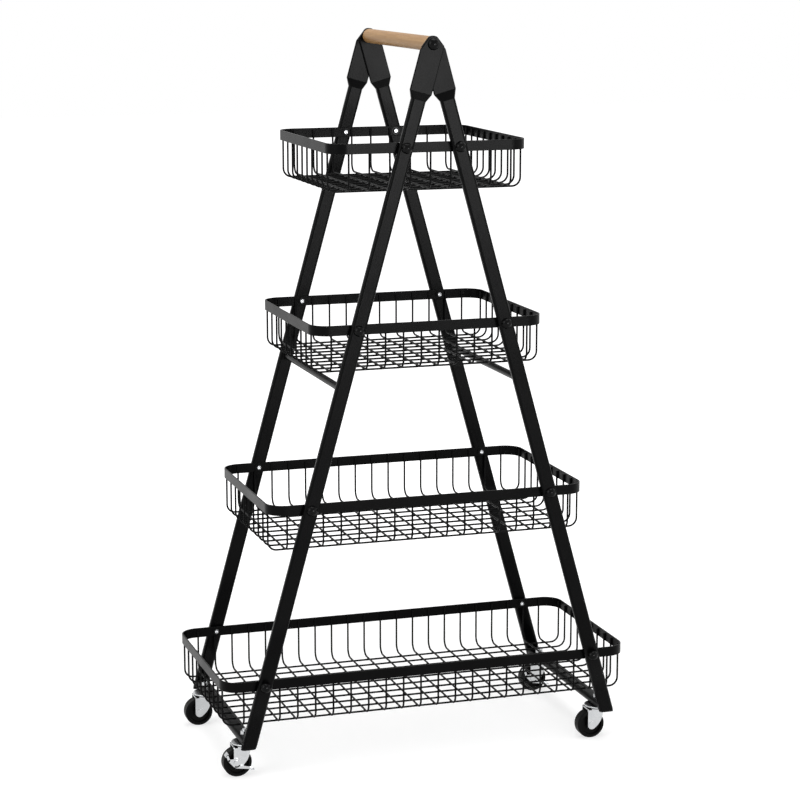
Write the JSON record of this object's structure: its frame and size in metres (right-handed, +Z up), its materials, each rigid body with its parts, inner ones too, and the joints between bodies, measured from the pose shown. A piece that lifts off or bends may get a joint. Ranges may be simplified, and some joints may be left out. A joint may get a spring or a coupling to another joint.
{
  "type": "tiered produce rack",
  "caption": "Rolling produce rack: two A-shaped tube frames hold open wire baskets that grow longer towards the floor, with a dowel handle on top and swivel casters below.",
  "frame": {"origin": "on the floor, under the middle of the cart", "axes": "+Z up; +X along the baskets, to the right seen from the front; +Y from the front frame to the rear frame"},
  "size_m": [0.589, 0.3084, 1.0006],
  "materials": {
    "black_steel": "satin black powder coat",
    "black_wire": "satin black powder coat",
    "black_fastener": "smooth black",
    "zinc": "bright zinc plate",
    "beech": "clear lacquered beech",
    "brass": "turned",
    "black_plastic": "matte",
    "wheel_plastic": "moulded black"
  },
  "bodies": {
    "frame": {"tier_1_rim": "black_steel", "tier_1_cross_wires": "black_wire", "tier_1_length_wires": "black_wire", "tier_1_screws": "zinc", "tier_1_washers": "black_fastener", "tier_1_cap_nuts": "black_fastener", "tier_2_rim": "black_steel", "tier_2_cross_wires": "black_wire", "tier_2_length_wires": "black_wire", "tier_2_screws": "zinc", "tier_2_washers": "black_fastener", "tier_2_cap_nuts": "black_fastener", "tier_3_rim": "black_steel", "tier_3_cross_wires": "black_wire", "tier_3_length_wires": "black_wire", "tier_3_screws": "zinc", "tier_3_washers": "black_fastener", "tier_3_cap_nuts": "black_fastener", "tier_4_rim": "black_steel", "tier_4_cross_wires": "black_wire", "tier_4_length_wires": "black_wire", "tier_4_screws": "zinc", "tier_4_washers": "black_fastener", "tier_4_cap_nuts": "black_fastener", "front_left_leg": "black_steel", "front_right_leg": "black_steel", "rear_left_leg": "black_steel", "rear_right_leg": "black_steel", "leg_end_caps": "black_plastic", "left_side_brace": "black_steel", "left_bottom_rail": "black_steel", "right_side_brace": "black_steel", "right_bottom_rail": "black_steel", "handle": "beech", "handle_inserts": "brass", "handle_bolts": "black_fastener", "stem_nuts": "zinc", "swivel_rings": "black_plastic", "front_left_stem": "zinc", "front_right_stem": "zinc", "rear_left_stem": "zinc", "rear_right_stem": "zinc"},
    "front_left_swivel": {"front_left_fork": "zinc", "front_left_axle": "zinc"},
    "front_left_roller": {"front_left_wheel": "wheel_plastic"},
    "front_left_lever": {"front_left_brake": "zinc"},
    "front_right_swivel": {"front_right_fork": "zinc", "front_right_axle": "zinc"},
    "front_right_roller": {"front_right_wheel": "wheel_plastic"},
    "rear_left_swivel": {"rear_left_fork": "zinc", "rear_left_axle": "zinc"},
    "rear_left_roller": {"rear_left_wheel": "wheel_plastic"},
    "rear_right_swivel": {"rear_right_fork": "zinc", "rear_right_axle": "zinc"},
    "rear_right_roller": {"rear_right_wheel": "wheel_plastic"},
    "rear_right_lever": {"rear_right_brake": "zinc"}
  },
  "joints": [
    {"name": "front_left_swivel_turn", "type": "hinge", "parent": "frame", "child": "front_left_swivel", "pos_m": [-0.26056, -0.114, 0.0431], "axis": [0, 0, 1], "continuous": true},
    {"name": "front_left_wheel_spin", "type": "hinge", "parent": "front_left_swivel", "child": "front_left_roller", "pos_m": [-0.27256, -0.114, 0.02], "axis": [0, 1, 0], "continuous": true},
    {"name": "front_left_brake_press", "type": "hinge", "parent": "front_left_swivel", "child": "front_left_lever", "pos_m": [-0.27566, -0.114, 0.0216], "axis": [0, 1, 0], "range_deg": [0, 15]},
    {"name": "front_right_swivel_turn", "type": "hinge", "parent": "frame", "child": "front_right_swivel", "pos_m": [0.26056, -0.114, 0.0431], "axis": [0, 0, 1], "continuous": true},
    {"name": "front_right_wheel_spin", "type": "hinge", "parent": "front_right_swivel", "child": "front_right_roller", "pos_m": [0.24856, -0.114, 0.02], "axis": [0, 1, 0], "continuous": true},
    {"name": "rear_left_swivel_turn", "type": "hinge", "parent": "frame", "child": "rear_left_swivel", "pos_m": [-0.26056, 0.114, 0.0431], "axis": [0, 0, 1], "continuous": true},
    {"name": "rear_left_wheel_spin", "type": "hinge", "parent": "rear_left_swivel", "child": "rear_left_roller", "pos_m": [-0.27256, 0.114, 0.02], "axis": [0, 1, 0], "continuous": true},
    {"name": "rear_right_swivel_turn", "type": "hinge", "parent": "frame", "child": "rear_right_swivel", "pos_m": [0.26056, 0.114, 0.0431], "axis": [0, 0, 1], "continuous": true},
    {"name": "rear_right_wheel_spin", "type": "hinge", "parent": "rear_right_swivel", "child": "rear_right_roller", "pos_m": [0.24856, 0.114, 0.02], "axis": [0, 1, 0], "continuous": true},
    {"name": "rear_right_brake_press", "type": "hinge", "parent": "rear_right_swivel", "child": "rear_right_lever", "pos_m": [0.24546, 0.114, 0.0216], "axis": [0, 1, 0], "range_deg": [0, 15]}
  ]
}
